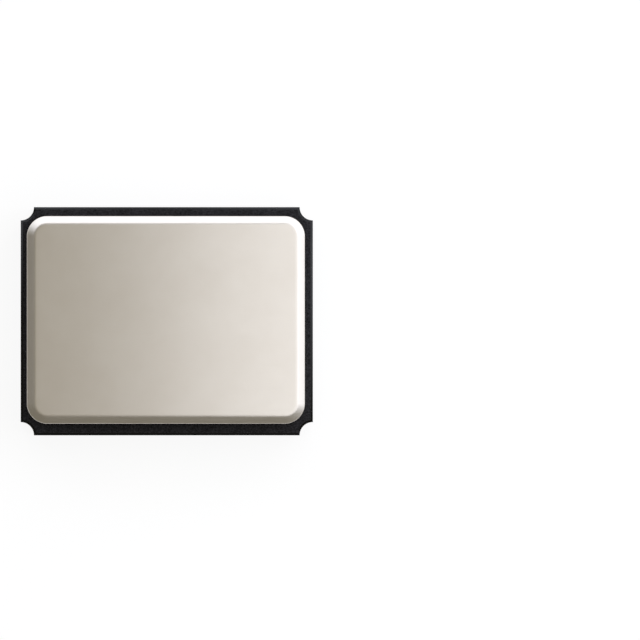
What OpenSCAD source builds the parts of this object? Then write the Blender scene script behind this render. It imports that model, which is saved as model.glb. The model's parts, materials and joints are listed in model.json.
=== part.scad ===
// A surface-mount crystal clock oscillator in a black ceramic package.
// The origin is the centre of the plane that the four terminals stand on.
// +X runs along the long side, +Y along the short side and +Z towards the lid.
// Pin 1 is at -X -Y, and the pins count anticlockwise seen from the lid.

/* [Ceramic body] */
// Length of the body along X
body_l = 3.2; // [2.6:0.1:5]
// Width of the body along Y
body_w = 2.5; // [2.1:0.1:3.6]
// Height of the fired ceramic, without the terminals
body_h = 0.66; // [0.55:0.01:1]
// Radius of the quarter-round notch in each corner
notch_r = 0.145; // [0.1:0.005:0.18]
// Width of the chamfer that the snapped scribe lines leave on the outer edges
chamfer_w = 0.025; // [0.01:0.005:0.04]
// Height of that chamfer
chamfer_h = 0.015; // [0.005:0.005:0.04]

/* [Cavity] */
// Wall of the body round the cavity
wall = 0.35; // [0.28:0.01:0.42]
// Radius of the cavity's upright corners
cavity_r = 0.1; // [0.05:0.01:0.14]
// Thickness of the floor
floor_t = 0.14; // [0.1:0.01:0.2]
// Height of the crystal's shelf over the floor
shelf_h = 0.24; // [0.2:0.01:0.3]
// Length of the shelf along X
shelf_l = 0.42; // [0.36:0.01:0.5]

/* [Terminals] */
// Length of a terminal along X
pad_l = 0.91; // [0.76:0.01:1.1]
// Width of a terminal along Y
pad_w = 0.65; // [0.54:0.01:0.8]
// Thickness of a terminal's metal
pad_t = 0.02; // [0.01:0.005:0.04]
// Bare ceramic between a terminal and the body's edge
pad_inset = 0.07; // [0.05:0.01:0.12]
// Length along X cut from the inner corner of pin 1
key_l = 0.36; // [0.1:0.01:0.4]
// Width along Y cut from the inner corner of pin 1
key_w = 0.28; // [0.1:0.01:0.3]

/* [Lid and seal] */
// Ceramic that shows at each end of a centred lid
lid_margin_x = 0.08; // [0.06:0.005:0.12]
// Ceramic that shows at each side of a centred lid
lid_margin_y = 0.115; // [0.06:0.005:0.14]
// How far the lid is welded off centre along X
lid_shift_x = -0.01; // [-0.015:0.005:0.015]
// How far the lid is welded off centre along Y
lid_shift_y = 0.015; // [-0.015:0.005:0.015]
// Thickness of the lid
lid_t = 0.08; // [0.06:0.01:0.15]
// Radius of the lid's corners
lid_r = 0.22; // [0.18:0.01:0.3]
// Width of the band that the seam rollers press round the lid
bevel_w = 0.085; // [0.05:0.005:0.12]
// Drop of that band at the lid's edge
bevel_drop = 0.04; // [0.02:0.005:0.05]
// Height of the seal ring
ring_h = 0.115; // [0.08:0.005:0.2]
// How far the ring lies inside the edge of a centred lid
ring_inset = 0.035; // [0.035:0.005:0.05]
// How far the ring stands back from the cavity
ring_setback = 0.02; // [0.015:0.005:0.03]
// Thickness of the metal frame that is fired on the rim under the ring
frame_t = 0.01; // [0.005:0.005:0.02]
// How far that frame reaches past the ring
frame_margin = 0.015; // [0.005:0.005:0.015]
// Thickness of the braze between the frame and the ring
braze_t = 0.015; // [0.01:0.005:0.03]

/* [Crystal] */
// Thickness of the quartz blank
blank_t = 0.067; // [0.035:0.001:0.12]
// Gap between the blank's held end and the cavity
held_gap = 0.1; // [0.08:0.01:0.14]
// Gap between the blank's free end and the cavity
free_gap = 0.3; // [0.2:0.01:0.4]
// Gap between each side of the blank and the cavity
side_gap = 0.2; // [0.1:0.01:0.24]
// Thickness of the metal films on the blank
film_t = 0.002; // [0.001:0.001:0.004]
// Bare quartz at the sides and free end of the electrodes
electrode_margin = 0.22; // [0.15:0.01:0.26]
// Bare quartz between the held end and the electrodes
electrode_start = 0.5; // [0.4:0.01:0.6]
// Width of the lead from each electrode to the held end
lead_w = 0.3; // [0.26:0.01:0.34]
// Length of the contact that wraps under the held end
wrap_l = 0.3; // [0.26:0.01:0.36]

/* [Crystal mounting] */
// Length along X of the land under each adhesive dot
crystal_land_l = 0.3; // [0.27:0.01:0.34]
// Width along Y of that land
crystal_land_w = 0.34; // [0.3:0.01:0.36]
// Distance from the middle of a land to the blank's side edge
crystal_land_edge = 0.28; // [0.22:0.01:0.3]
// Radius of an adhesive dot where it meets the land
dot_r = 0.13; // [0.1:0.01:0.13]
// Radius of an adhesive dot where it meets the blank
dot_top_r = 0.115; // [0.08:0.005:0.12]
// Height of an adhesive dot
dot_h = 0.03; // [0.02:0.005:0.05]

/* [Oscillator chip] */
// Length of the chip along X
chip_l = 1.1; // [0.9:0.05:1.3]
// Width of the chip along Y
chip_w = 0.9; // [0.75:0.05:1.1]
// Thickness of the chip
chip_t = 0.13; // [0.08:0.01:0.14]
// Distance from the chip's edge to the middle of a bump
bump_edge = 0.12; // [0.08:0.01:0.15]
// Radius of a bump's ball, on the chip
bump_r = 0.04; // [0.03:0.005:0.05]
// Radius of a bump's tip, on its land
bump_tip_r = 0.026; // [0.02:0.002:0.03]
// Height of a bump
bump_h = 0.03; // [0.02:0.005:0.04]

/* [Conductors] */
// Thickness of the tracks and lands inside
print_t = 0.01; // [0.005:0.005:0.02]
// Width of a track
track_w = 0.07; // [0.05:0.01:0.08]
// Side of the square land at each end of a track
land_side = 0.1; // [0.08:0.01:0.12]
// Radius of the metal posts that run through the ceramic
post_r = 0.035; // [0.025:0.005:0.05]
// Distance from the inner end of a terminal to its post
post_from_pad_end = 0.15; // [0.08:0.01:0.16]
// Distance from the cavity's side to a terminal's post
post_from_side = 0.09; // [0.08:0.01:0.14]

/* [Hidden] */
$fn = 64;
PINS = ["1_enable", "2_ground", "3_output", "4_supply"];
PIN_SIDES = [[-1, -1], [1, -1], [1, 1], [-1, 1]];
CRYSTAL_LEADS = ["a", "b"];
LEAD_SIDES = [-1, 1];
BUMPS = 6;
BUMP_COLUMNS = 3;
PIN_BUMPS = [1, 2, 5, 4];
CRYSTAL_BUMPS = [0, 3];
GROUND = 1;

// Heights of the faces, from the terminals up
z_body = pad_t;
z_floor = z_body + floor_t;
z_shelf = z_floor + shelf_h;
z_rim = z_body + body_h;
z_braze = z_rim + frame_t;
z_ring = z_braze + braze_t;
z_lid = z_ring + ring_h;
z_bump = z_floor + print_t;
z_chip = z_bump + bump_h;
z_dot = z_shelf + print_t;
z_blank = z_dot + dot_h + film_t;

// The cavity, its deeper pit beside the shelf, and what sits in them
cavity_l = body_l - 2 * wall;
cavity_w = body_w - 2 * wall;
pit_l = cavity_l - shelf_l;
pit_x = shelf_l / 2;
shelf_x = -(cavity_l - shelf_l) / 2;
blank_x = -cavity_l / 2 + held_gap;
blank_l = cavity_l - held_gap - free_gap;
blank_w = cavity_w - 2 * side_gap;
electrode_l = blank_l - electrode_start - electrode_margin;
electrode_w = blank_w - 2 * electrode_margin;
lead_y = blank_w / 2 - crystal_land_edge;
dot_x = shelf_x + crystal_land_l / 2 - dot_r;

// The lid and the ring under it
lid_l = body_l - 2 * lid_margin_x;
lid_w = body_w - 2 * lid_margin_y;
ring_l = lid_l - 2 * ring_inset;
ring_w = lid_w - 2 * ring_inset;
ring_r = lid_r - ring_inset;
ring_hole_l = cavity_l + 2 * ring_setback;
ring_hole_w = cavity_w + 2 * ring_setback;
ring_hole_r = cavity_r + ring_setback;

// Where the conductors run
pad_far = [body_l / 2 - pad_inset, body_w / 2 - pad_inset];
pad_near = pad_far - [pad_l, pad_w];
lid_post_at = [
    PIN_SIDES[GROUND].x * (ring_l + ring_hole_l) / 4,
    PIN_SIDES[GROUND].y * (pad_far.y + pad_near.y) / 2
];

function post_at(pin) = [
    PIN_SIDES[pin].x * (pad_near.x + post_from_pad_end),
    PIN_SIDES[pin].y * (cavity_w / 2 - post_from_side)
];

function bump_at(i) = [
    pit_x + (i % BUMP_COLUMNS - 1) * (chip_l / 2 - bump_edge),
    (floor(i / BUMP_COLUMNS) * 2 - 1) * (chip_w / 2 - bump_edge)
];

function crystal_post_at(lead) = [shelf_x, LEAD_SIDES[lead] * lead_y];

// Shared shapes

// A rectangle with round corners, centred on the origin
module rounded_rect(l, w, r) {
    square([l - 2 * r, w], center = true);
    square([l, w - 2 * r], center = true);
    for (x = [-1, 1], y = [-1, 1]) {
        translate([x * (l / 2 - r), y * (w / 2 - r)]) circle(r);
    }
}

module along_x(l) {
    translate([-l / 2, 0, 0]) rotate([90, 0, 90]) linear_extrude(l) children();
}

module along_y(l) {
    translate([0, l / 2, 0]) rotate([90, 0, 0]) linear_extrude(l) children();
}

// The upright section of a block with all its outer edges chamfered
module chamfered_section(w, h) {
    polygon([
        [chamfer_w - w / 2, 0],
        [w / 2 - chamfer_w, 0],
        [w / 2, chamfer_h],
        [w / 2, h - chamfer_h],
        [w / 2 - chamfer_w, h],
        [chamfer_w - w / 2, h],
        [-w / 2, h - chamfer_h],
        [-w / 2, chamfer_h]
    ]);
}

// The upright section of a plate whose top slopes down at both edges
module bevelled_section(w, h, slope_w, slope_h) {
    polygon([
        [-w / 2, 0],
        [w / 2, 0],
        [w / 2, h - slope_h],
        [w / 2 - slope_w, h],
        [slope_w - w / 2, h],
        [-w / 2, h - slope_h]
    ]);
}

// A flat ring that follows the seal, wider than the seal ring by m on both sides
module seal_layer(z, h, m) {
    translate([0, 0, z]) linear_extrude(h) difference() {
        rounded_rect(ring_l + 2 * m, ring_w + 2 * m, ring_r + m);
        rounded_rect(ring_hole_l - 2 * m, ring_hole_w - 2 * m, ring_hole_r - m);
    }
}

// A metal post through the ceramic, from one height to another
module post(at, from, to) {
    translate([at.x, at.y, from]) cylinder(r = post_r, h = to - from);
}

// A printed track through its points, with a square land at both ends
module track(points) {
    last = len(points) - 1;
    for (i = [1:last]) {
        low = [for (k = [0, 1]) min(points[i - 1][k], points[i][k]) - track_w / 2];
        high = [for (k = [0, 1]) max(points[i - 1][k], points[i][k]) + track_w / 2];
        translate([low.x, low.y, z_floor]) cube([high.x - low.x, high.y - low.y, print_t]);
    }
    for (p = [points[0], points[last]]) {
        translate([p.x - land_side / 2, p.y - land_side / 2, z_floor])
            cube([land_side, land_side, print_t]);
    }
}

// A metal film on the blank, from one corner to the opposite one
module film(low, high) {
    translate(low) cube(high - low);
}

// The pieces

// The corner notch, which opens out at the rim to chamfer its edge
module notch_cutter() {
    rotate_extrude() polygon([
        [0, -chamfer_h],
        [notch_r, -chamfer_h],
        [notch_r, body_h - chamfer_h],
        [notch_r + 2 * chamfer_w, body_h + chamfer_h],
        [0, body_h + chamfer_h]
    ]);
}

module ceramic_body() {
    color("#222224") difference() {
        translate([0, 0, z_body]) intersection() {
            along_x(body_l) chamfered_section(body_w, body_h);
            along_y(body_w) chamfered_section(body_l, body_h);
        }
        for (s = PIN_SIDES) {
            translate([s.x * body_l / 2, s.y * body_w / 2, z_body]) notch_cutter();
        }
        translate([0, 0, z_shelf]) linear_extrude(body_h) rounded_rect(cavity_l, cavity_w, cavity_r);
        translate([pit_x, 0, z_floor]) linear_extrude(body_h) rounded_rect(pit_l, cavity_w, cavity_r);
        for (pin = [0:3]) {
            floor_post_shape(pin);
            chip_track_shape(pin);
        }
        for (lead = [0, 1]) {
            crystal_track_shape(lead);
            crystal_post_shape(lead);
        }
        lid_ground_post_shape();
    }
}

// The lid is one plate: two crossed bars and four turned corners share its section
module lid() {
    corner = [lid_l / 2 - lid_r, lid_w / 2 - lid_r];
    color("#c4bcb2") translate([lid_shift_x, lid_shift_y, z_lid]) {
        along_x(lid_l - 2 * lid_r) bevelled_section(lid_w, lid_t, bevel_w, bevel_drop);
        along_y(lid_w - 2 * lid_r) bevelled_section(lid_l, lid_t, bevel_w, bevel_drop);
        for (pin = [0:3]) {
            translate([PIN_SIDES[pin].x * corner.x, PIN_SIDES[pin].y * corner.y, 0])
                rotate([0, 0, 180 + 90 * pin])
                    rotate_extrude(angle = 90) polygon([
                        [0, 0],
                        [lid_r, 0],
                        [lid_r, lid_t - bevel_drop],
                        [lid_r - bevel_w, lid_t],
                        [0, lid_t]
                    ]);
        }
    }
}

module seal_ring() {
    color("#b9b09a") seal_layer(z_ring, ring_h, 0);
}

module seal_braze() {
    color("#c9c9c4") seal_layer(z_braze, braze_t, 0);
}

module seal_frame() {
    color("#d8a844") seal_layer(z_rim, frame_t, frame_margin);
}

module terminal(pin) {
    side = PIN_SIDES[pin];
    keyed = [[pad_near.x, pad_near.y + key_w], [pad_near.x + key_l, pad_near.y]];
    inner_corner = pin == 0 ? keyed : [pad_near];
    outline = concat([[pad_far.x, pad_near.y], pad_far, [pad_near.x, pad_far.y]], inner_corner);
    color("#ecb446") difference() {
        linear_extrude(pad_t) polygon([for (p = outline) [side.x * p.x, side.y * p.y]]);
        translate([side.x * body_l / 2, side.y * body_w / 2, -pad_t]) cylinder(r = notch_r, h = 3 * pad_t);
    }
}

module floor_post_shape(pin) {
    post(post_at(pin), z_body, z_floor);
}

module floor_post(pin) {
    color("#8d8c8a") floor_post_shape(pin);
}

module lid_ground_post_shape() {
    post(lid_post_at, z_body, z_rim);
}

module lid_ground_post() {
    color("#8d8c8a") lid_ground_post_shape();
}

// From a chip bump out to the side of the cavity, then along it to the pin's post
module chip_track_shape(pin) {
    from = bump_at(PIN_BUMPS[pin]);
    to = post_at(pin);
    track([from, [from.x, to.y], to]);
}

module chip_track(pin) {
    color("#e0ac48") chip_track_shape(pin);
}

// From a chip bump straight under the shelf, then across to the crystal's post
module crystal_track_shape(lead) {
    from = bump_at(CRYSTAL_BUMPS[lead]);
    to = crystal_post_at(lead);
    track([from, [to.x, from.y], to]);
}

module crystal_track(lead) {
    color("#e0ac48") crystal_track_shape(lead);
}

module crystal_post_shape(lead) {
    post(crystal_post_at(lead), z_floor + print_t, z_shelf);
}

module crystal_post(lead) {
    color("#8d8c8a") crystal_post_shape(lead);
}

module crystal_land(lead) {
    color("#e0ac48")
        translate([shelf_x - crystal_land_l / 2, LEAD_SIDES[lead] * lead_y - crystal_land_w / 2, z_shelf])
            cube([crystal_land_l, crystal_land_w, print_t]);
}

module adhesive_dot(lead) {
    color("#a9a8a4")
        translate([dot_x, LEAD_SIDES[lead] * lead_y, z_dot])
            cylinder(r1 = dot_r, r2 = dot_top_r, h = dot_h);
}

module quartz_blank() {
    color("#dfe6ea") translate([blank_x, -blank_w / 2, z_blank]) cube([blank_l, blank_w, blank_t]);
}

// An electrode and its lead on one face of the blank, at height z
module electrode_film(z, lead) {
    y = LEAD_SIDES[lead] * lead_y;
    film(
        [blank_x + electrode_start, -electrode_w / 2, z],
        [blank_x + electrode_start + electrode_l, electrode_w / 2, z + film_t]
    );
    film([blank_x, y - lead_w / 2, z], [blank_x + electrode_start, y + lead_w / 2, z + film_t]);
}

// The lower film reaches the first dot by its own lead
module bottom_electrode() {
    color("#d9d9d6") electrode_film(z_blank - film_t, 0);
}

// The upper film's lead wraps round the held end to a contact over the second dot
module top_electrode() {
    low_y = lead_y - lead_w / 2;
    high_y = lead_y + lead_w / 2;
    z_top = z_blank + blank_t;
    color("#d9d9d6") {
        electrode_film(z_top, 1);
        film([blank_x - film_t, low_y, z_blank - film_t], [blank_x, high_y, z_top + film_t]);
        film([blank_x - film_t, low_y, z_blank - film_t], [blank_x + wrap_l, high_y, z_blank]);
    }
}

module oscillator_chip() {
    color("#4a4f5c") translate([pit_x - chip_l / 2, -chip_w / 2, z_chip]) cube([chip_l, chip_w, chip_t]);
}

// A stud bump: its ball against the chip and its pressed tip on the land
module chip_bump(i) {
    at = bump_at(i);
    color("#f0c050") translate([at.x, at.y, z_bump]) {
        cylinder(r = bump_tip_r, h = bump_h);
        translate([0, 0, bump_h / 2]) cylinder(r = bump_r, h = bump_h / 2);
    }
}

ceramic_body();
lid();
seal_ring();
seal_braze();
seal_frame();
for (pin = [0:3]) {
    terminal(pin);
    floor_post(pin);
    chip_track(pin);
}
lid_ground_post();
for (lead = [0, 1]) {
    crystal_track(lead);
    crystal_post(lead);
    crystal_land(lead);
    adhesive_dot(lead);
}
quartz_blank();
top_electrode();
bottom_electrode();
oscillator_chip();
for (i = [1:BUMPS]) {
    chip_bump(i - 1);
}
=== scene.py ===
"""The looks of a surface-mount crystal oscillator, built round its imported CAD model."""
import json
import math

import bmesh
import bpy
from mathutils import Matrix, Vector


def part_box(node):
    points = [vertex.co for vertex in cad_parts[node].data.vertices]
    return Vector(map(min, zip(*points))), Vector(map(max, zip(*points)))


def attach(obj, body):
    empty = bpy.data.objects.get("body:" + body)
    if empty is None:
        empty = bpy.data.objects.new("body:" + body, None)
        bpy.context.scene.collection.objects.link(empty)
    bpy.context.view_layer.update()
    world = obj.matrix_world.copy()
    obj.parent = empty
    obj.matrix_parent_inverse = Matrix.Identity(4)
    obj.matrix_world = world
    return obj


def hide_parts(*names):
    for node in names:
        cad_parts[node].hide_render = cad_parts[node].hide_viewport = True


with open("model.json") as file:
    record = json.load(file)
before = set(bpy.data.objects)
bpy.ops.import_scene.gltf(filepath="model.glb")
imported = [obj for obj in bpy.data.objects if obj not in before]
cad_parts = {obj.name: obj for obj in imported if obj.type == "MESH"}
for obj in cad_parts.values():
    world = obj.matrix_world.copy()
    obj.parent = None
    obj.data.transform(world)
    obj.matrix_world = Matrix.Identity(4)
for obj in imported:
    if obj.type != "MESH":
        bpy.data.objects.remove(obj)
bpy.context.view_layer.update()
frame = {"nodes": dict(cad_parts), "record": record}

MM = 0.001  # a millimetre, in metres
UM = 0.001  # a micrometre, in millimetres
HAIR = 1e-4  # a length in millimetres that is too small to matter
FLAT_ANGLE = 0.5  # degrees between faces that count as one
SMOOTH_ANGLE = 35  # degrees between faces that are shaded as one curved surface


# Sizes, in millimetres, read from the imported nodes

def box_mm(node):
    low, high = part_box(node)
    return low / MM, high / MM


def points_mm(node):
    return [v.co / MM for v in frame["nodes"][node].data.vertices]


def reach(points):
    """How far points lie from the object's axis along X and along Y."""
    return max(abs(p.x) for p in points), max(abs(p.y) for p in points)


def span(values):
    return max(values) - min(values)


BODY_LOW, BODY_HIGH = box_mm("ceramic_body")
LID_LOW, LID_HIGH = box_mm("lid")
RING_LOW, RING_HIGH = box_mm("seal_ring")
BRAZE_LOW, BRAZE_HIGH = box_mm("seal_braze")
RIM_FRAME_LOW, RIM_FRAME_HIGH = box_mm("seal_frame")
PIT_FLOOR_Z = box_mm("chip_track_1_enable")[0].z
SHELF_Z = box_mm("crystal_land_a")[0].z

body_points = points_mm("ceramic_body")
body_top = [p for p in body_points if p.z > BODY_HIGH.z - HAIR]
body_end = [p for p in body_points if p.x > BODY_HIGH.x - HAIR]
shelf_points = [p for p in body_points if abs(p.z - SHELF_Z) < HAIR]
lid_points = points_mm("lid")
lid_top = [p for p in lid_points if p.z > LID_HIGH.z - HAIR]
lid_end = [p for p in lid_points if p.x > LID_HIGH.x - HAIR]
LID_CENTRE, LID_SIZE = (LID_LOW + LID_HIGH) / 2, LID_HIGH - LID_LOW

NOTCH_R = BODY_HIGH.y - reach(body_end)[1]
CHAMFER_W = BODY_HIGH.x - reach(body_top)[0]
CHAMFER_H = BODY_HIGH.z - max(p.z for p in body_end)
CAVITY_X, CAVITY_Y = reach(shelf_points)
CAVITY_R = CAVITY_Y - max(abs(p.y) for p in shelf_points if p.x < HAIR - CAVITY_X)
PIT_START = max(p.x for p in shelf_points if abs(p.y) < CAVITY_Y - CAVITY_R + HAIR)
LID_R = (LID_SIZE.y - span([p.y for p in lid_end])) / 2
BEVEL_W = (LID_SIZE.x - span([p.x for p in lid_top])) / 2
BEVEL_DROP = LID_HIGH.z - max(p.z for p in lid_end)


# Outlines: functions of an inset that give a closed list of (x, y) in millimetres, anticlockwise

CORNERS = [(1, 1, 0), (-1, 1, 90), (-1, -1, 180), (1, -1, 270)]
ARC_STEPS = 24


def arc(centre, radius, start, turn, steps=ARC_STEPS):
    """Points along an arc that starts at an angle and turns by another, both in degrees."""
    points = []
    for i in range(steps + 1):
        a = math.radians(start + turn * i / steps)
        points.append((centre[0] + radius * math.cos(a), centre[1] + radius * math.sin(a)))
    return points


def rounded_rectangle(half_x, half_y, radius):
    """A rectangle about the origin, whose corners' radius shrinks with the inset."""
    def outline(inset):
        points = []
        for sx, sy, start in CORNERS:
            centre = (sx * (half_x - radius), sy * (half_y - radius))
            points += arc(centre, radius - inset, start, 90)
        return points
    return outline


def notched_rectangle(half_x, half_y, radius, notches_widen=True):
    """A rectangle with a round notch in each corner, which grows with the inset if it widens."""
    def outline(inset):
        points = []
        r = radius + inset if notches_widen else radius
        clipped = math.degrees(math.asin(inset / r))
        for sx, sy, start in CORNERS:
            points += arc((sx * half_x, sy * half_y), r, start - 90 - clipped, 2 * clipped - 90)
        return points
    return outline


def moved(outline, x, y):
    return lambda inset: [(px + x, py + y) for px, py in outline(inset)]


def mirrored(outline, mirror_x, mirror_y):
    """An outline mirrored along X, Y or both by factors of -1, and still anticlockwise."""
    def result(inset):
        points = [(x * mirror_x, y * mirror_y) for x, y in outline(inset)]
        return points if mirror_x * mirror_y > 0 else points[::-1]
    return result


def inset_corner(before, corner, after, inset):
    """A corner of straight sides, moved in from both of them."""
    corner = Vector(corner)
    side = (corner - Vector(before)).normalized()
    next_side = (Vector(after) - corner).normalized()
    inward, next_inward = Vector((-side.y, side.x)), Vector((-next_side.y, next_side.x))
    return tuple(corner + (inward + next_inward) / (1 + inward.dot(next_inward)) * inset)


# Meshes

def rounded_corner(corner, before, after, radius, steps):
    """A profile's corner, turned into an arc between the two straight stretches beside it."""
    corner, before, after = Vector(corner), Vector(before), Vector(after)
    to_before, to_after = (before - corner).normalized(), (after - corner).normalized()
    half = to_before.angle(to_after) / 2
    centre = corner + (to_before + to_after).normalized() * radius / math.sin(half)
    start = corner + to_before * radius / math.tan(half) - centre
    end = corner + to_after * radius / math.tan(half) - centre
    turn = start.angle(end)
    points = []
    for i in range(steps + 1):
        t = i / steps
        p = (start * math.sin((1 - t) * turn) + end * math.sin(t * turn)) / math.sin(turn)
        points.append(tuple(centre + p))
    return points


def rounded_profile(corners, radii, steps=5):
    """A profile through corner points, each but the first and last rounded by its radius."""
    points = [tuple(corners[0])]
    for before, corner, after, radius in zip(corners, corners[1:], corners[2:], radii):
        points += rounded_corner(corner, before, after, radius, steps)
    return points + [tuple(corners[-1])]


def add_loops(bm, *sections):
    """Loops of vertices, one for each (inset, height) of each section's profile, joined by faces."""
    loops = []
    for outline, profile in sections:
        loops += [[bm.verts.new((x, y, z)) for x, y in outline(inset)] for inset, z in profile]
    for low, high in zip(loops, loops[1:]):
        for i in range(len(low)):
            j = (i + 1) % len(low)
            bm.faces.new((low[i], low[j], high[j], high[i]))
    return loops


def solid(*sections):
    """A closed solid of outlines with their profiles, one on top of another from the bottom up."""
    bm = bmesh.new()
    loops = add_loops(bm, *sections)
    bm.faces.new(list(reversed(loops[0])))
    bm.faces.new(loops[-1])
    return bm


def ring_solid(outer, outer_profile, inner, inner_profile):
    """A closed ring between two outlines with as many points; the inner profile runs downwards."""
    bm = bmesh.new()
    out = add_loops(bm, (outer, outer_profile))
    inn = add_loops(bm, (inner, inner_profile))
    count = len(out[0])
    for i in range(count):
        j = (i + 1) % count
        bm.faces.new((out[-1][i], out[-1][j], inn[0][j], inn[0][i]))
        bm.faces.new((inn[-1][i], inn[-1][j], out[0][j], out[0][i]))
    return bm


def new_object(name, bm, closed=True):
    """An object of a bmesh. A closed solid's faces are turned outwards."""
    if closed:
        bmesh.ops.recalc_face_normals(bm, faces=bm.faces[:])
    mesh = bpy.data.meshes.new(name)
    bm.to_mesh(mesh)
    bm.free()
    obj = bpy.data.objects.new(name, mesh)
    bpy.context.scene.collection.objects.link(obj)
    return obj


def conductor_cutter(node):
    """A CAD node's solid in millimetres, to be cut out of the ceramic. Where it ends level with
    the ceramic's top or bottom it is made to stick out, so that its hole is open there."""
    bm = bmesh.new()
    bm.from_mesh(frame["nodes"][node].data)
    bmesh.ops.remove_doubles(bm, verts=bm.verts[:], dist=HAIR * MM)
    bmesh.ops.scale(bm, verts=bm.verts[:], vec=(1 / MM, 1 / MM, 1 / MM))
    flat = math.radians(FLAT_ANGLE)
    bmesh.ops.dissolve_limit(bm, angle_limit=flat, verts=bm.verts[:], edges=bm.edges[:])
    for v in bm.verts:
        if v.co.z < BODY_LOW.z + HAIR:
            v.co.z -= CHAMFER_H
        elif v.co.z > BODY_HIGH.z - HAIR:
            v.co.z += CHAMFER_H
    return new_object("cutter_" + node, bm)


def cut(obj, cutters):
    """Takes the cutters' solids out of a mesh, while both are still in millimetres."""
    for cutter in cutters:
        modifier = obj.modifiers.new("cut", "BOOLEAN")
        modifier.operation = "DIFFERENCE"
        modifier.solver = "EXACT"
        modifier.object = cutter
    bpy.context.view_layer.update()
    bm = bmesh.new()
    bm.from_object(obj, bpy.context.evaluated_depsgraph_get())
    bmesh.ops.remove_doubles(bm, verts=bm.verts[:], dist=HAIR)
    bmesh.ops.dissolve_degenerate(bm, edges=bm.edges[:], dist=HAIR)
    obj.modifiers.clear()
    bm.to_mesh(obj.data)
    bm.free()
    for cutter in cutters:
        bpy.data.objects.remove(cutter)


def place(obj, slot, node):
    """Takes a mesh from millimetres to metres, smooths it, and lets it stand for its CAD node."""
    for v in obj.data.vertices:
        v.co *= MM
    obj.data.shade_smooth()
    obj.data.set_sharp_from_angle(angle=math.radians(SMOOTH_ANGLE))
    obj.data.materials.clear()
    obj.data.materials.append(MATERIALS[slot])
    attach(obj, "root")
    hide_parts(node)


# Materials

class Graph:
    """The nodes of a material or of the world, with short ways to add and join them."""

    def __init__(self, owner):
        owner.use_nodes = True
        self.nodes = owner.node_tree.nodes
        self.links = owner.node_tree.links

    def feed(self, socket, value):
        """Gives a socket another node's output, or else a constant."""
        if isinstance(value, bpy.types.NodeSocket):
            self.links.new(value, socket)
        else:
            socket.default_value = value

    def node(self, kind, *values, **settings):
        """A new node with its settings, whose first sockets take the values in order."""
        node = self.nodes.new("ShaderNode" + kind)
        for key, setting in settings.items():
            setattr(node, key, setting)
        for value, socket in zip(values, node.inputs):
            self.feed(socket, value)
        return node

    def math(self, operation, *values):
        return self.node("Math", *values, operation=operation).outputs["Value"]

    def add(self, first, second):
        return self.math("ADD", first, second)

    def multiply(self, first, second):
        return self.math("MULTIPLY", first, second)

    def larger(self, first, second):
        return self.math("MAXIMUM", first, second)

    def ramp(self, value, low, high, start=0.3, end=0.7, smooth=False):
        """Maps a value's range from start to end onto the range from low to high."""
        node = self.node("MapRange", interpolation_type="SMOOTHSTEP" if smooth else "LINEAR")
        node.inputs["From Min"].default_value = start
        node.inputs["From Max"].default_value = end
        node.inputs["To Min"].default_value = low
        node.inputs["To Max"].default_value = high
        self.feed(node.inputs["Value"], value)
        return node.outputs["Result"]

    def blend(self, factor, first, second):
        """Mixes two colours, each an (r, g, b) or another node's output."""
        node = self.node("Mix", data_type="RGBA")
        self.feed(node.inputs["Factor"], factor)
        for key, color in (("A", first), ("B", second)):
            self.feed(node.inputs[key], (*color, 1) if isinstance(color, tuple) else color)
        return node.outputs["Result"]


class Shader(Graph):
    """A material with a Principled BSDF. Further inputs are named with _ in place of spaces."""

    def __init__(self, name, color, roughness, metallic=0.0, **inputs):
        self.material = bpy.data.materials.new(name)
        self.material.diffuse_color = (*color, 1)
        super().__init__(self.material)
        self.bsdf = self.nodes["Principled BSDF"]
        self.bsdf.inputs["Base Color"].default_value = (*color, 1)
        self.bsdf.inputs["Roughness"].default_value = roughness
        self.bsdf.inputs["Metallic"].default_value = metallic
        for key, value in inputs.items():
            self.bsdf.inputs[key.replace("_", " ")].default_value = value
        self.position = self.node("TexCoord").outputs["Object"]
        self.normal = None

    def use(self, value, socket):
        self.links.new(value, self.bsdf.inputs[socket])

    def stretched(self, scale, turn=0):
        """Coordinates scaled along X, Y and Z, after a turn about Z in degrees."""
        turned = self.node("VectorRotate", self.position, rotation_type="Z_AXIS")
        turned.inputs["Angle"].default_value = math.radians(turn)
        scaled = self.node("Mapping", turned.outputs["Vector"])
        scaled.inputs["Scale"].default_value = scale
        return scaled.outputs["Vector"]

    def noise(self, size_mm, detail=2, vector=None):
        """Noise from 0 to 1 whose features are about that size."""
        node = self.node("TexNoise", vector or self.position)
        node.inputs["Scale"].default_value = 1 / (size_mm * MM)
        node.inputs["Detail"].default_value = detail
        return node.outputs["Fac"]

    def bump(self, height, depth_um):
        """Makes the surface uneven by a height from 0 to 1 times that depth, on top of earlier bumps."""
        node = self.node("Bump")
        node.inputs["Strength"].default_value = 1.0
        node.inputs["Distance"].default_value = depth_um * UM * MM
        self.links.new(height, node.inputs["Height"])
        if self.normal:
            self.links.new(self.normal, node.inputs["Normal"])
        self.normal = node.outputs["Normal"]
        self.use(self.normal, "Normal")

    def flatness(self):
        """1 on faces that point straight up or down, and 0 on upright faces."""
        normal = self.node("NewGeometry").outputs["True Normal"]
        return self.math("ABSOLUTE", self.node("SeparateXYZ", normal).outputs["Z"])


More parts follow.
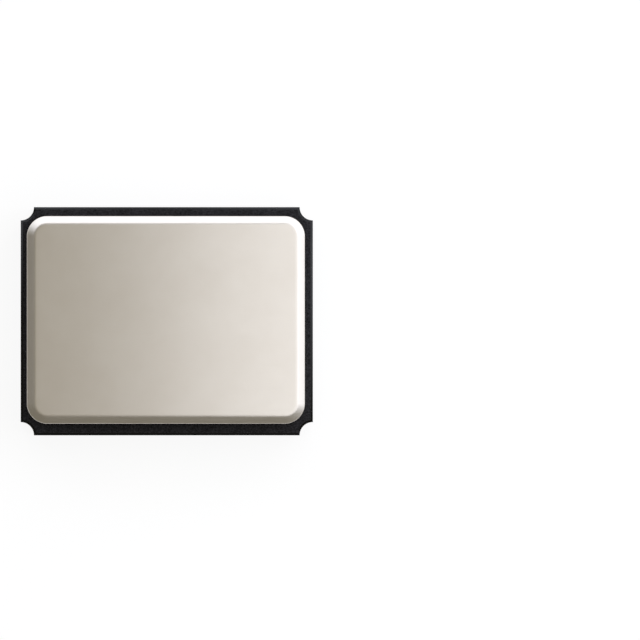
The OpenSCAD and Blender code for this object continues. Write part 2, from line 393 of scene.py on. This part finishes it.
def black_ceramic():
    """Black fired alumina: a fine grain, coarser on the snapped sides. The chamfers between the
    flat faces and the sides are darker and smoother."""
    s = Shader("black_ceramic", (0.012, 0.012, 0.013), roughness=0.65, Specular_IOR_Level=0.36)
    grain = s.noise(0.018, detail=4)
    patch = s.noise(0.09)
    mixed = s.add(s.ramp(grain, 0, 0.85), s.ramp(patch, 0, 0.15))
    flatness = s.flatness()
    flat = s.ramp(flatness, 0, 1, start=0.92, end=0.99)
    side = s.ramp(flatness, 1, 0, start=0.25, end=0.35)
    matte = s.larger(flat, side)
    matte_color = s.blend(mixed, (0.0, 0.0, 0.0), (0.0380, 0.0361, 0.0407))
    s.use(s.blend(matte, (0.0005, 0.0005, 0.0005), matte_color), "Base Color")
    s.use(s.ramp(matte, 0.22, 1.0, start=0, end=1), "Roughness")
    s.bump(s.multiply(mixed, matte), depth_um=4)
    s.bump(s.multiply(s.noise(0.05, detail=5), side), depth_um=12)
    return s.material


def lid_metal():
    """Nickel-plated sheet: faint rolling lines along X and a slight mottle. Its pressed band and
    sides have a paler metal, which paints a brighter highlight there."""
    s = Shader("lid_metal", (0.66, 0.62, 0.57), roughness=0.35, metallic=1.0)
    lines = s.noise(0.01, detail=3, vector=s.stretched((0.03, 1, 1)))
    mottle = s.noise(0.35, detail=3)
    sheet = s.blend(s.ramp(mottle, 0, 1), (0.655, 0.612, 0.56), (0.675, 0.635, 0.585))
    # Painted highlight: a paler metal on the sloping band and the sides than on the flat top
    edge = s.ramp(s.flatness(), 1, 0, start=0.93, end=0.985)
    s.use(s.blend(edge, sheet, (0.865, 0.811, 0.744)), "Base Color")
    s.use(s.ramp(lines, 0.32, 0.38), "Roughness")
    s.bump(lines, depth_um=0.05)
    return s.material


def ring_metal():
    """The seal ring's plated alloy, with fine upright lines."""
    s = Shader("ring_metal", (0.58, 0.55, 0.5), roughness=0.4, metallic=1.0)
    lines = s.noise(0.012, detail=3, vector=s.stretched((1, 1, 0.1)))
    s.use(s.ramp(lines, 0.35, 0.5), "Roughness")
    s.bump(lines, depth_um=0.2)
    return s.material


def silver_braze():
    """Braze that has flowed and set in low lumps."""
    s = Shader("silver_braze", (0.72, 0.71, 0.68), roughness=0.35, metallic=1.0)
    lumps = s.noise(0.03)
    s.use(s.ramp(lumps, 0.28, 0.45), "Roughness")
    s.bump(lumps, depth_um=0.8)
    return s.material


def gold_plating():
    """Gold over a printed and fired film: a fine grain and slow diagonal streaks of tone and painted
    sheen. The paler gold along its edges is a painted highlight."""
    s = Shader("gold_plating", (0.84, 0.47, 0.07), roughness=0.28, metallic=1.0)
    grain = s.noise(0.012, detail=3)
    streak = s.noise(1.0, detail=1, vector=s.stretched((2.2, 0.6, 1), turn=30))
    # Painted sheen, partly the plating's own tone: diagonal streaks of deeper and paler gold
    tone_and_sheen_streaks = s.ramp(streak, 0, 1, start=0.35, end=0.75)
    flat = s.blend(tone_and_sheen_streaks, (0.84, 0.44, 0.055), (0.95, 0.63, 0.14))
    # Painted highlight: a paler, whiter gold on the rounded edges
    edge = s.ramp(s.flatness(), 1, 0, start=0.87, end=0.97)
    s.use(s.blend(edge, flat, (0.97, 0.74, 0.3)), "Base Color")
    s.use(s.ramp(grain, 0.24, 0.34), "Roughness")
    s.bump(streak, depth_um=30)
    s.bump(grain, depth_um=0.1)
    return s.material


def tungsten():
    """Tungsten paste, fired with the ceramic: dull and grainy."""
    s = Shader("tungsten", (0.3, 0.3, 0.29), roughness=0.6, metallic=1.0)
    grain = s.noise(0.008)
    s.use(s.ramp(grain, 0.5, 0.7), "Roughness")
    s.bump(grain, depth_um=1)
    return s.material


def quartz():
    """Lapped quartz, clear with a fine frost."""
    s = Shader("quartz", (0.92, 0.95, 0.97), roughness=0.2, Transmission_Weight=1.0, IOR=1.544)
    frost = s.noise(0.01)
    s.use(s.ramp(frost, 0.15, 0.3), "Roughness")
    s.bump(frost, depth_um=0.2)
    return s.material


def electrode_film():
    """A thin metal film, which shows the quartz's frost."""
    s = Shader("electrode_film", (0.86, 0.86, 0.84), roughness=0.25, metallic=1.0)
    grain = s.noise(0.01)
    s.use(s.ramp(grain, 0.2, 0.32), "Roughness")
    s.bump(grain, depth_um=0.2)
    return s.material


def silicon():
    """The chip's back, ground and polished."""
    s = Shader("silicon", (0.16, 0.17, 0.2), roughness=0.18, metallic=0.8)
    polish = s.noise(0.2)
    s.use(s.ramp(polish, 0.14, 0.24), "Roughness")
    s.bump(polish, depth_um=0.1)
    return s.material


def conductive_adhesive():
    """Resin full of silver flakes."""
    s = Shader("conductive_adhesive", (0.55, 0.55, 0.53), roughness=0.45, metallic=0.6)
    flakes = s.noise(0.006)
    s.use(s.blend(s.ramp(flakes, 0, 1), (0.42, 0.42, 0.4), (0.68, 0.68, 0.66)), "Base Color")
    s.use(s.ramp(flakes, 0.3, 0.6), "Roughness")
    s.bump(flakes, depth_um=1.5)
    return s.material


def bump_gold():
    """Soft gold of the stud bumps, slightly uneven from the pressing."""
    s = Shader("bump_gold", (0.95, 0.66, 0.2), roughness=0.22, metallic=1.0)
    grain = s.noise(0.006)
    s.use(s.ramp(grain, 0.18, 0.3), "Roughness")
    s.bump(grain, depth_um=0.4)
    return s.material


MAKERS = [
    black_ceramic, lid_metal, ring_metal, silver_braze, gold_plating, tungsten,
    quartz, electrode_film, silicon, conductive_adhesive, bump_gold,
]
MATERIALS = {maker.__name__: maker() for maker in MAKERS}


# The visible pieces, in millimetres. A margin is a strip of flat face that a profile keeps beside an
# edge, so that the edge's smooth shading stops there.

CERAMIC_EDGE_R = 0.004
LID_FOOT_R, LID_RIM_R, LID_BEVEL_R = 0.006, 0.01, 0.09
LID_FOOT_MARGIN, LID_TOP_MARGIN = 0.02, 0.06
RING_SETBACK = 0.02
RING_EDGE_R, BRAZE_EDGE_R, RIM_FRAME_EDGE_R = 0.004, 0.003, 0.002
TERMINAL_EDGE_R, TERMINAL_JOINT_R = 0.015, 0.002


def ceramic_body():
    """A block with chamfered edges and a round notch in each corner. The cavity, the pit beside the
    shelf, the posts and the tracks are cut out of it."""
    low, high, w, h = BODY_LOW.z, BODY_HIGH.z, CHAMFER_W, CHAMFER_H
    size = (BODY_HIGH.x, BODY_HIGH.y, NOTCH_R)
    middle = (0, (low + high) / 2)
    radii = [CERAMIC_EDGE_R] * 2
    bottom = rounded_profile([(2 * w, low), (w, low), (0, low + h), middle], radii, steps=3)
    top = rounded_profile([middle, (0, high - h), (w, high), (1.5 * w, high)], radii, steps=3)
    obj = new_object("ceramic_body_fired", solid(
        (notched_rectangle(*size), bottom[:1]),
        (notched_rectangle(*size, notches_widen=False), bottom[1:-1]),
        (notched_rectangle(*size), top[1:]),
    ))
    cavity = rounded_rectangle(CAVITY_X, CAVITY_Y, CAVITY_R)
    pit_half = (CAVITY_X - PIT_START) / 2
    pit = moved(rounded_rectangle(pit_half, CAVITY_Y, CAVITY_R), CAVITY_X - pit_half, 0)
    cut(obj, [
        new_object("cavity_cutter", solid((cavity, [(0, SHELF_Z), (0, high + h)]))),
        new_object("pit_cutter", solid((pit, [(0, PIT_FLOOR_Z), (0, high + h)]))),
    ] + [conductor_cutter(name) for name in frame["nodes"] if "_post" in name or "_track" in name])
    place(obj, "black_ceramic", "ceramic_body")


def lid():
    """A plate whose edge is pressed down into a sloping band."""
    low, high = LID_LOW.z, LID_HIGH.z
    centred = rounded_rectangle(LID_SIZE.x / 2, LID_SIZE.y / 2, LID_R)
    outline = moved(centred, LID_CENTRE.x, LID_CENTRE.y)
    foot = [(LID_FOOT_MARGIN, low), (0, low)]
    band = [(0, high - BEVEL_DROP), (BEVEL_W, high), (BEVEL_W + LID_TOP_MARGIN, high)]
    profile = rounded_profile(foot + band, [LID_FOOT_R, LID_RIM_R, LID_BEVEL_R], steps=8)
    place(new_object("lid_plated", solid((outline, profile))), "lid_metal", "lid")


def seal_layer(name, low, high, slot, node, edge):
    """One of the rings under the lid, with its outer and inner edges rounded."""
    wider = RING_SETBACK - (high.x - RING_HIGH.x)
    outer = rounded_rectangle(high.x, high.y, LID_R - (LID_SIZE.x / 2 - high.x))
    inner = rounded_rectangle(CAVITY_X + wider, CAVITY_Y + wider, CAVITY_R + wider)
    up = rounded_profile([(edge * 2, low.z), (0, low.z), (0, high.z), (edge * 2, high.z)], [edge] * 2)
    down = [(-inset, z) for inset, z in reversed(up)]
    place(new_object(name, ring_solid(outer, up, inner, down)), slot, node)


def terminal(pin, mirror_x, mirror_y, keyed):
    """A gold land in one corner, clipped by the corner's notch. A keyed one has its inner corner
    cut off as well."""
    node = "terminal_" + pin
    points = points_mm(node)
    far = Vector(reach(points))
    near = Vector((min(abs(p.x) for p in points), min(abs(p.y) for p in points)))
    inner = [(near.x, far.y), tuple(near), (far.x, near.y)]
    if keyed:
        key_x = min(abs(p.x) for p in points if abs(abs(p.y) - near.y) < HAIR)
        key_y = min(abs(p.y) for p in points if abs(abs(p.x) - near.x) < HAIR)
        inner[1:2] = [(near.x, key_y), (key_x, near.y)]

    def outline(inset):
        radius = NOTCH_R + inset
        start = math.degrees(math.asin((BODY_HIGH.x - far.x + inset) / radius))
        end = math.degrees(math.asin((BODY_HIGH.y - far.y + inset) / radius))
        clip = arc((BODY_HIGH.x, BODY_HIGH.y), radius, 270 - start, start + end - 90, ARC_STEPS // 2)
        sides = [(far.x, far.y)] + inner + [(far.x, far.y)]
        return clip + [inset_corner(*three, inset) for three in zip(sides, sides[1:], sides[2:])]

    low, high = box_mm(node)
    edge = TERMINAL_EDGE_R
    corners = [(2 * edge, low.z), (0, low.z), (0, high.z), (edge, high.z)]
    profile = rounded_profile(corners, [edge, TERMINAL_JOINT_R])
    obj = new_object("plated_" + node, solid((mirrored(outline, mirror_x, mirror_y), profile)))
    place(obj, "gold_plating", node)


ceramic_body()
lid()
seal_layer("seal_ring_plated", RING_LOW, RING_HIGH, "ring_metal", "seal_ring", RING_EDGE_R)
seal_layer("seal_braze_flowed", BRAZE_LOW, BRAZE_HIGH, "silver_braze", "seal_braze", BRAZE_EDGE_R)
seal_layer(
    "seal_frame_plated", RIM_FRAME_LOW, RIM_FRAME_HIGH, "gold_plating", "seal_frame", RIM_FRAME_EDGE_R,
)
terminal("1_enable", -1, -1, keyed=True)
terminal("2_ground", 1, -1, keyed=False)
terminal("3_output", 1, 1, keyed=False)
terminal("4_supply", -1, 1, keyed=False)

# The CAD nodes that no piece stands for keep their shape and take the material of their slot

SLOT_OF = {s["node"]: s["material_slot"] for s in frame["record"]["subparts"]}
for name, obj in frame["nodes"].items():
    if not obj.hide_render:
        obj.data.materials.clear()
        obj.data.materials.append(MATERIALS[SLOT_OF[name]])


# Camera: almost straight down from far away, with the object in the left half of the picture.
# The sensor, the lens, the width of the view and the point that it looks at are in millimetres.

SENSOR = 36.0
LENS = 1000.0
VIEW_WIDTH = 7.01
LOOK_AT = Vector((1.678, 0.0135, BODY_HIGH.z))
LEAN = Vector((-0.0086, 0, 1)).normalized()
CLIP_NEAR, CLIP_FAR = 0.5, 4  # shares of the camera's distance


def camera():
    """The photograph's view, of the lid side."""
    distance = VIEW_WIDTH * LENS / SENSOR
    data = bpy.data.cameras.new("camera")
    data.sensor_width = SENSOR
    data.lens = LENS
    data.clip_start = CLIP_NEAR * distance * MM
    data.clip_end = CLIP_FAR * distance * MM
    obj = bpy.data.objects.new("camera", data)
    obj.location = (LOOK_AT + LEAN * distance) * MM
    obj.rotation_euler = (math.atan(-LEAN.y / LEAN.z), math.atan(LEAN.x / LEAN.z), 0)
    bpy.context.scene.collection.objects.link(obj)
    bpy.context.scene.camera = obj


# Floor: in millimetres, just under the terminals

STAGE_HALF = 60
STAGE_Z = -0.004
FLOOR_PAINT = (0.15, 0.15, 0.15)
FLOOR_GLOW = 0.9


def floor_material():
    """Shows nearly white to the camera and in mirrors and glass, takes the object's shadow, and is
    clear from below."""
    material = bpy.data.materials.new("floor")
    g = Graph(material)
    g.nodes.clear()
    rays = g.node("LightPath").outputs
    seen = g.larger(g.larger(rays["Is Camera Ray"], rays["Is Glossy Ray"]), rays["Is Transmission Ray"])
    glow = g.node("Emission")
    g.feed(glow.inputs["Strength"], g.multiply(seen, FLOOR_GLOW))
    paint = g.node("BsdfDiffuse", (*FLOOR_PAINT, 1))
    both = g.node("AddShader", paint.outputs[0], glow.outputs[0])
    clear = g.node("BsdfTransparent")
    below = g.larger(g.node("NewGeometry").outputs["Backfacing"], rays["Transparent Depth"])
    sides = g.node("MixShader", below, both.outputs[0], clear.outputs[0])
    g.node("OutputMaterial", sides.outputs[0])
    return material


def floor():
    """A wide square under the object."""
    bm = bmesh.new()
    corners = [(x * STAGE_HALF, y * STAGE_HALF, STAGE_Z) for x, y in ((-1, -1), (1, -1), (1, 1), (-1, 1))]
    bm.faces.new([bm.verts.new(corner) for corner in corners])
    bmesh.ops.scale(bm, verts=bm.verts[:], vec=(MM, MM, MM))
    obj = new_object("floor", bm, closed=False)
    obj.data.materials.append(floor_material())


# Light. Heights are sines of the elevation, and a pair of numbers is where a change starts and ends.

WARM_SHADE = (1.0, 0.93, 0.755)
COOL_LIGHT = (1.0, 1.04, 1.14)
PALE_BELOW = (0.88, 0.88, 0.88)
SKY_LEVEL, OVERHEAD_LEVEL = 0.178, 0.46
OVERHEAD_HEIGHT = (0.82, 0.96)
BELOW_HORIZON = (0.0, -0.2)
BAND_LEVEL = 1.62
BAND_DIRECTION = (0.34, 0.94, 0)
BAND_SIDES = (-0.1, 0.36)  # cosines of the angle from its direction
BAND_TOP = (0.86, 0.7)
BAND_FOOT, BAND_FOOT_SHARE = (0.4, 0.58), 0.5
BAND_BELOW_SHARE = 0.6
CARD_AT, CARD_SIZE = (4.125, 0, 8.0), (7.75, 10)
CARD_LEVEL = 1.06


def dimmed(color, level):
    return tuple(level * c for c in color)


def world_light():
    """A soft surrounding with a bright band at the back, a little to the right. The rest is dim and
    warm above the horizon and pale below it."""
    world = bpy.data.worlds.new("world")
    bpy.context.scene.world = world
    g = Graph(world)
    direction = g.node("TexCoord").outputs["Generated"]
    height = g.node("SeparateXYZ", direction).outputs["Z"]
    steepness = g.math("ABSOLUTE", height)
    toward = g.node("VectorMath", direction, BAND_DIRECTION, operation="DOT_PRODUCT").outputs["Value"]

    overhead = g.ramp(height, 0, 1, *OVERHEAD_HEIGHT, smooth=True)
    above = g.blend(overhead, dimmed(WARM_SHADE, SKY_LEVEL), dimmed(WARM_SHADE, OVERHEAD_LEVEL))
    shade = g.blend(g.ramp(height, 0, 1, *BELOW_HORIZON, smooth=True), above, PALE_BELOW)

    band = g.multiply(
        g.ramp(steepness, 0, 1, *BAND_TOP, smooth=True),
        g.ramp(steepness, BAND_FOOT_SHARE, 1, *BAND_FOOT, smooth=True),
    )
    band = g.multiply(band, g.ramp(height, 1, BAND_BELOW_SHARE, *BELOW_HORIZON, smooth=True))
    band = g.multiply(g.ramp(toward, 0, 1, *BAND_SIDES), band)
    color = g.blend(band, shade, dimmed(COOL_LIGHT, BAND_LEVEL))
    g.feed(g.nodes["Background"].inputs["Color"], color)


def card_light():
    """A flat lamp above and to the right, which shines evenly down and is unseen by the camera."""
    data = bpy.data.lights.new("card_over", "AREA")
    data.shape = "RECTANGLE"
    data.size, data.size_y = CARD_SIZE[0] * MM, CARD_SIZE[1] * MM
    data.energy = CARD_LEVEL * math.pi * data.size * data.size_y
    data.color = COOL_LIGHT
    obj = bpy.data.objects.new("card_over", data)
    obj.location = Vector(CARD_AT) * MM
    obj.visible_camera = False
    bpy.context.scene.collection.objects.link(obj)


camera()
floor()
world_light()
card_light()
bpy.context.scene.view_settings.view_transform = "Standard"
